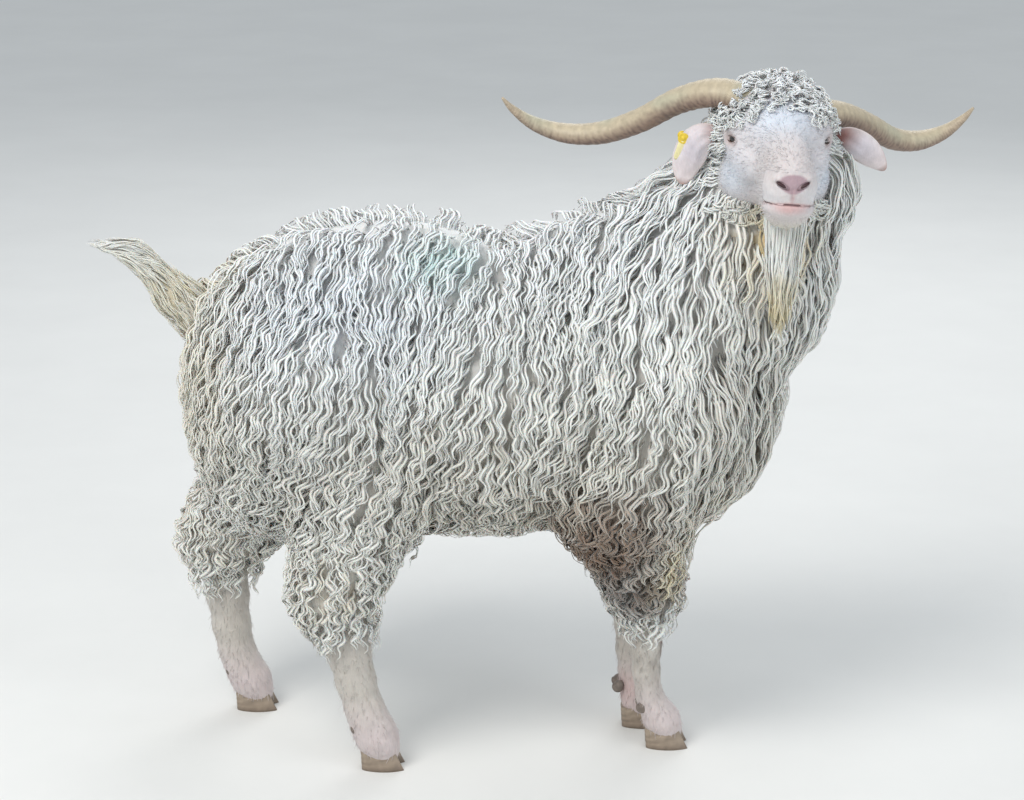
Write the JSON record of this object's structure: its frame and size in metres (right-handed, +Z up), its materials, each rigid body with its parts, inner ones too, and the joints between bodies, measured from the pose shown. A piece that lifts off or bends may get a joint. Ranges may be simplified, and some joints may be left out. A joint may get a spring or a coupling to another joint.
{
  "type": "angora goat",
  "caption": "Standing Angora goat buck with curly fleece, beard, swept horns and drooping ears, head turned to its right.",
  "frame": {"origin": "on the ground, under the middle of the goat's box", "axes": "+X towards the chest, +Y to the goat's left, +Z up"},
  "size_m": [1.1086, 0.4904, 0.9118],
  "materials": {
    "fleece": "long curly cream-white mohair",
    "face": "short white hair over pink skin",
    "ear": "short white hair, pink inside",
    "leg": "short stained cream hair",
    "horn": "dry ridged horn",
    "hoof": "dull horn of the hoof",
    "eye": "wet dark brown",
    "tag": "plain yellow plastic"
  },
  "bodies": {
    "root": {"neck": "fleece", "tail": "fleece", "foreleg_right_upper": "fleece", "foreleg_right_lower": "leg", "foreleg_right_claw_1": "hoof", "foreleg_right_dewclaw_1": "hoof", "foreleg_right_claw_2": "hoof", "foreleg_right_dewclaw_2": "hoof", "foreleg_left_upper": "fleece", "foreleg_left_lower": "leg", "foreleg_left_claw_1": "hoof", "foreleg_left_dewclaw_1": "hoof", "foreleg_left_claw_2": "hoof", "foreleg_left_dewclaw_2": "hoof", "hindleg_right_upper": "fleece", "hindleg_right_lower": "leg", "hindleg_right_claw_1": "hoof", "hindleg_right_dewclaw_1": "hoof", "hindleg_right_claw_2": "hoof", "hindleg_right_dewclaw_2": "hoof", "hindleg_left_upper": "fleece", "hindleg_left_lower": "leg", "hindleg_left_claw_1": "hoof", "hindleg_left_dewclaw_1": "hoof", "hindleg_left_claw_2": "hoof", "hindleg_left_dewclaw_2": "hoof", "torso": "fleece", "beard": "fleece", "topknot": "fleece", "head": "face", "ear_right": "ear", "ear_left": "ear", "horn_right": "horn", "horn_left": "horn", "eye_right": "eye", "eye_left": "eye", "ear_tag": "tag"}
  },
  "joints": []
}
